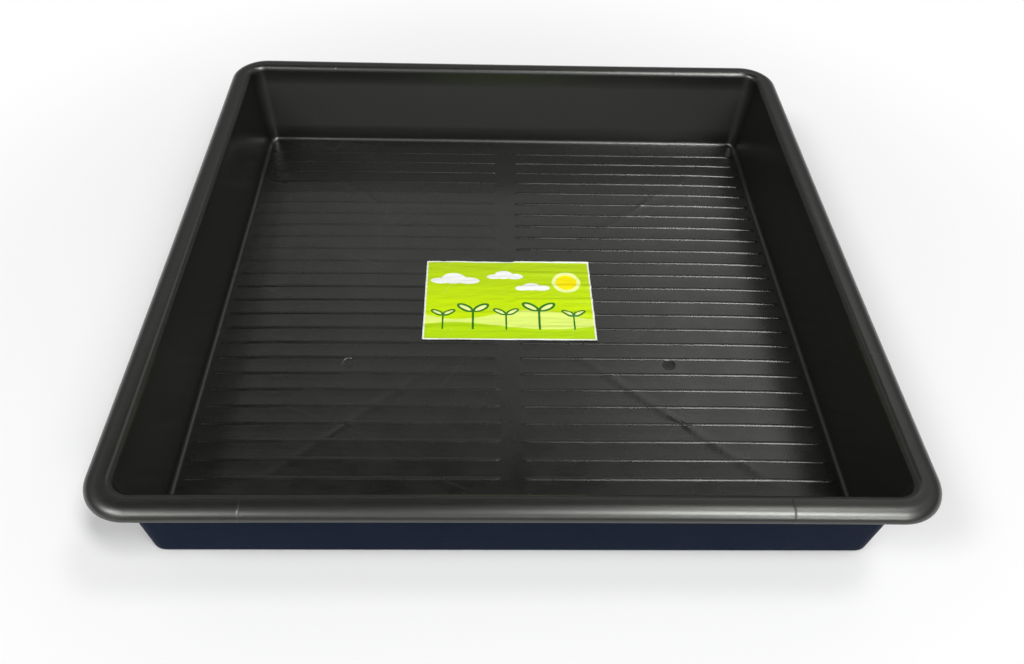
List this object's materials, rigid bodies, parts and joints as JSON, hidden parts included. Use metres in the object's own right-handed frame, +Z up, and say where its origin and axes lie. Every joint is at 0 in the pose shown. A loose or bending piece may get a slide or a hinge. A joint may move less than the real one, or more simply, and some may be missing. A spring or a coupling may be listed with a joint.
{
  "type": "plant growing tray",
  "caption": "Square black moulded growing tray with a rounded turned-down rim, tapered walls and a ribbed, crowned floor carrying a self-adhesive product label.",
  "frame": {"origin": "middle of the footprint, on the surface that the tray stands on", "axes": "+Z up out of the open top; -Y is the side nearest the viewer; the floor ribs run along X"},
  "size_m": [0.8, 0.8, 0.12],
  "materials": {
    "tray_plastic": "satin black moulded plastic with a fine grain",
    "label_film": "printed label stock, soft gloss"
  },
  "bodies": {
    "root": {"tray_shell": "tray_plastic", "product_label": "label_film"}
  },
  "joints": []
}
